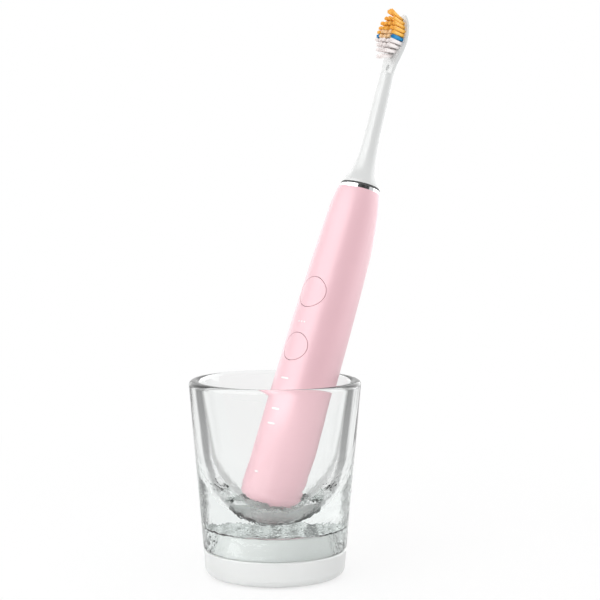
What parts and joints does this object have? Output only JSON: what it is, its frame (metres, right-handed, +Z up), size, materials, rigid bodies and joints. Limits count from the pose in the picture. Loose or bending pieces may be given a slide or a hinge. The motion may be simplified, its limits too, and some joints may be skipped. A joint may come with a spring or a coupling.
{
  "type": "electric toothbrush on charger",
  "caption": "Slim pink electric toothbrush with a push-on head, leaning in a clear thick-walled glass tumbler that stands on a low round white charging base.",
  "frame": {"origin": "centre of the charger's underside, on the face of its rubber foot pad", "axes": "+Z up, -Y towards the viewer, +X to the right; the cord gland faces +Y and the toothbrush leans towards +X and +Y"},
  "size_m": [0.1065, 0.0972, 0.2693],
  "materials": {
    "white_plastic": "smooth satin",
    "base_plastic": "fine texture",
    "steel": "plain",
    "grey_rubber": "matt",
    "white_rubber": "matt",
    "copper": "enamelled copper wire",
    "ferrite": "fired ferrite",
    "circuit_board": "solder mask",
    "chip": "moulded",
    "capacitor": "ceramic",
    "clear_glass": "clear polished",
    "pink_plastic": "satin",
    "inner_plastic": "as moulded",
    "cell_sleeve": "plain sleeve",
    "light_window": "translucent",
    "chrome_ring": "polished",
    "motor_can": "plated",
    "iron": "pressed",
    "magnet": "nickel plated",
    "bristle_white": "nylon filament",
    "bristle_pale": "nylon filament",
    "bristle_blue": "nylon filament",
    "bristle_orange": "nylon filament"
  },
  "bodies": {
    "charger": {"base_housing": "white_plastic", "base_bottom_plate": "base_plastic", "base_screws": "steel", "foot_pad": "grey_rubber", "cord_gland": "white_rubber", "transmit_coil": "copper", "transmit_ferrite": "ferrite", "charger_board": "circuit_board", "charger_chip": "chip", "charger_capacitors": "capacitor"},
    "tumbler": {"tumbler": "clear_glass"},
    "handle": {"handle_shell": "pink_plastic", "end_cap": "pink_plastic", "end_cap_seal": "grey_rubber", "chassis": "inner_plastic", "battery_cell": "cell_sleeve", "battery_tabs": "steel", "main_board": "circuit_board", "control_chips": "chip", "indicator_leds": "light_window", "power_switch": "chip", "mode_switch": "chip", "mode_light_pipes": "light_window", "level_light_pipes": "light_window", "receive_bobbin": "inner_plastic", "receive_coil": "copper", "receive_ferrite": "ferrite", "collar_ring": "chrome_ring", "neck_seal": "grey_rubber", "upper_bearing": "steel", "lower_bearing": "steel", "motor_frame": "motor_can", "stator_core": "iron", "stator_coil": "copper"},
    "drive": {"drive_shaft": "steel", "rotor_core": "iron", "rotor_magnets": "magnet"},
    "brush_head": {"brush_head_body": "white_plastic", "head_socket": "inner_plastic", "head_spring_clip": "steel", "bristles_white": "bristle_white", "bristles_pale": "bristle_pale", "bristles_blue": "bristle_blue", "bristles_orange": "bristle_orange"},
    "power_button": {"power_button": "pink_plastic", "power_button_boot": "white_rubber"},
    "mode_button": {"mode_button": "pink_plastic", "mode_button_boot": "white_rubber"}
  },
  "joints": [
    {"name": "tumbler_lift", "type": "slide", "parent": "charger", "child": "tumbler", "axis": [0, 0, 1], "range_m": [0, 0.05]},
    {"name": "toothbrush_lift", "type": "slide", "parent": "tumbler", "child": "handle", "axis": [0, 0, 1], "range_m": [0, 0.12]},
    {"name": "drive_oscillation", "type": "hinge", "parent": "handle", "child": "drive", "pos_m": [0.04122, 0.03543, 0.18311], "axis": [0.2336, 0.1916, 0.9533], "range_deg": [-5.5, 5.5], "stiffness_Nm_per_rad": 0.02},
    {"name": "head_pull_off", "type": "slide", "parent": "drive", "child": "brush_head", "axis": [0.2336, 0.1916, 0.9533], "range_m": [0, 0.03]},
    {"name": "power_press", "type": "slide", "parent": "handle", "child": "power_button", "axis": [0.618, 0.6952, -0.3671], "range_m": [0, 0.0004], "stiffness_N_per_m": 4000},
    {"name": "mode_press", "type": "slide", "parent": "handle", "child": "mode_button", "axis": [0.618, 0.6952, -0.3671], "range_m": [0, 0.0004], "stiffness_N_per_m": 4000}
  ]
}
